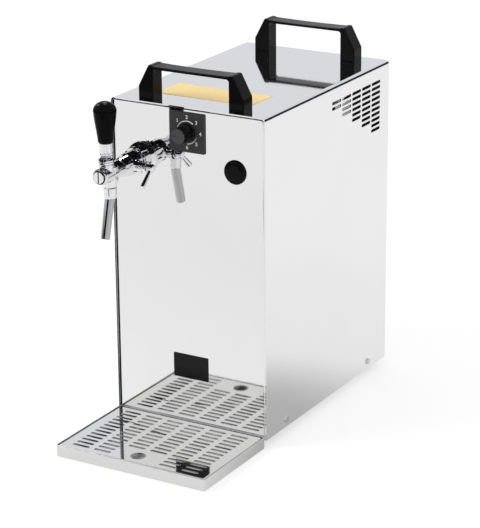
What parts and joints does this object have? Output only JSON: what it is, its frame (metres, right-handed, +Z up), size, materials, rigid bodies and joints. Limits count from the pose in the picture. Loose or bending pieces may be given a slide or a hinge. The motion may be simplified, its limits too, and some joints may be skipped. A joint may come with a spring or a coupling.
{
  "type": "counter-top beer cooler with tap",
  "caption": "Upright polished cabinet that chills and pumps beer to a compensator tap, with thermostat, carry handles and a lift-off drip tray in front.",
  "frame": {"origin": "on the floor, in the middle of the whole object's width and depth", "axes": "+X to the right seen from the front, +Y to the rear, +Z up; the tap and the tray face -Y"},
  "size_m": [0.2036, 0.459, 0.43],
  "materials": {
    "sheet_steel": "mirror-polished stainless sheet",
    "galvanised": "plain galvanised sheet",
    "screw_steel": "plain stainless screws",
    "black_plastic": "black moulded plastic, satin to gloss",
    "black_plate": "black gloss plate",
    "label_film": "pale orange blank film",
    "knob_grey": "satin grey knob face",
    "tap_chrome": "polished chrome plate",
    "spout_steel": "polished stainless tube",
    "rubber_black": "matt black rubber",
    "inner_plastic": "black moulded plastic",
    "inner_metal": "black painted steel",
    "fin_aluminium": "bare aluminium fins",
    "foam_jacket": "dark foam jacket",
    "hose_plastic": "milky plastic hose",
    "fitting_grey": "grey push-in fitting"
  },
  "bodies": {
    "cabinet": {"cover": "sheet_steel", "front_panel": "sheet_steel", "rear_panel": "galvanised", "base_pan": "galvanised", "feet": "rubber_black", "cover_screws": "screw_steel", "front_handle": "black_plastic", "rear_handle": "black_plastic", "handle_screws": "screw_steel", "dial_plate": "black_plate", "badge_plate": "black_plate", "top_label": "label_film", "thermostat_body": "inner_plastic", "hole_plug": "black_plastic", "wall_flange": "tap_chrome", "tap_shank": "tap_chrome", "shank_nut": "tap_chrome", "union_nut": "tap_chrome", "tap_body": "tap_chrome", "head_cap": "tap_chrome", "lever_nut": "tap_chrome", "side_nut": "tap_chrome", "spout_collar": "tap_chrome", "spout_tube": "spout_steel", "fan_shroud": "galvanised", "fan_motor": "inner_metal", "condenser": "fin_aluminium", "compressor": "inner_metal", "cooling_block": "foam_jacket", "block_stand": "galvanised", "air_pump": "inner_plastic", "beer_line_out": "hose_plastic", "beer_line_in": "hose_plastic", "air_line": "hose_plastic", "beer_inlet": "fitting_grey", "air_outlet": "fitting_grey", "cable_gland": "inner_plastic", "switch_frame": "inner_plastic"},
    "thermostat_knob": {"thermostat_knob": "knob_grey", "thermostat_shaft": "inner_metal"},
    "tap_lever": {"lever_stem": "tap_chrome", "lever_ferrule": "tap_chrome", "lever_grip": "black_plastic"},
    "valve": {"valve_piston": "tap_chrome", "valve_seal": "rubber_black"},
    "compensator_lever": {"side_lever": "tap_chrome", "side_shaft": "tap_chrome"},
    "compensator": {"compensator_cone": "inner_plastic"},
    "drip_tray": {"drip_tray": "sheet_steel"},
    "drip_grid": {"drip_grid": "sheet_steel"},
    "fan": {"fan_wheel": "inner_plastic"},
    "switch": {"switch_rocker": "inner_plastic"}
  },
  "joints": [
    {"name": "tap_lever_turn", "type": "hinge", "parent": "cabinet", "child": "tap_lever", "pos_m": [-0.059, -0.1695, 0.337], "axis": [1, 0, 0], "range_deg": [0, 30]},
    {"name": "valve_slide", "type": "slide", "parent": "cabinet", "child": "valve", "axis": [0, 1, 0], "range_m": [0, 0.0058]},
    {"name": "compensator_turn", "type": "hinge", "parent": "cabinet", "child": "compensator_lever", "pos_m": [-0.059, -0.1265, 0.324], "axis": [1, 0, 0], "range_deg": [-40, 45]},
    {"name": "compensator_slide", "type": "slide", "parent": "cabinet", "child": "compensator", "axis": [0, 1, 0], "range_m": [-0.00197, 0.00175]},
    {"name": "thermostat_turn", "type": "hinge", "parent": "cabinet", "child": "thermostat_knob", "pos_m": [0.001, -0.1055, 0.3618], "axis": [0, 1, 0], "range_deg": [0, 270]},
    {"name": "tray_slide", "type": "slide", "parent": "cabinet", "child": "drip_tray", "axis": [0, -1, 0], "range_m": [0, 0.14]},
    {"name": "grid_lift", "type": "slide", "parent": "drip_tray", "child": "drip_grid", "axis": [0, 0, 1], "range_m": [0, 0.04]},
    {"name": "fan_spin", "type": "hinge", "parent": "cabinet", "child": "fan", "pos_m": [0, 0.1815, 0.3], "axis": [0, 1, 0], "continuous": true},
    {"name": "switch_rock", "type": "hinge", "parent": "cabinet", "child": "switch", "pos_m": [0.062, 0.204, 0.111], "axis": [1, 0, 0], "range_deg": [0, 12]}
  ],
  "couplings": [
    {"joint": "valve_slide", "follows": "tap_lever_turn", "m_per_rad": 0.011},
    {"joint": "compensator_slide", "follows": "compensator_turn", "m_per_rad": -0.0025}
  ]
}
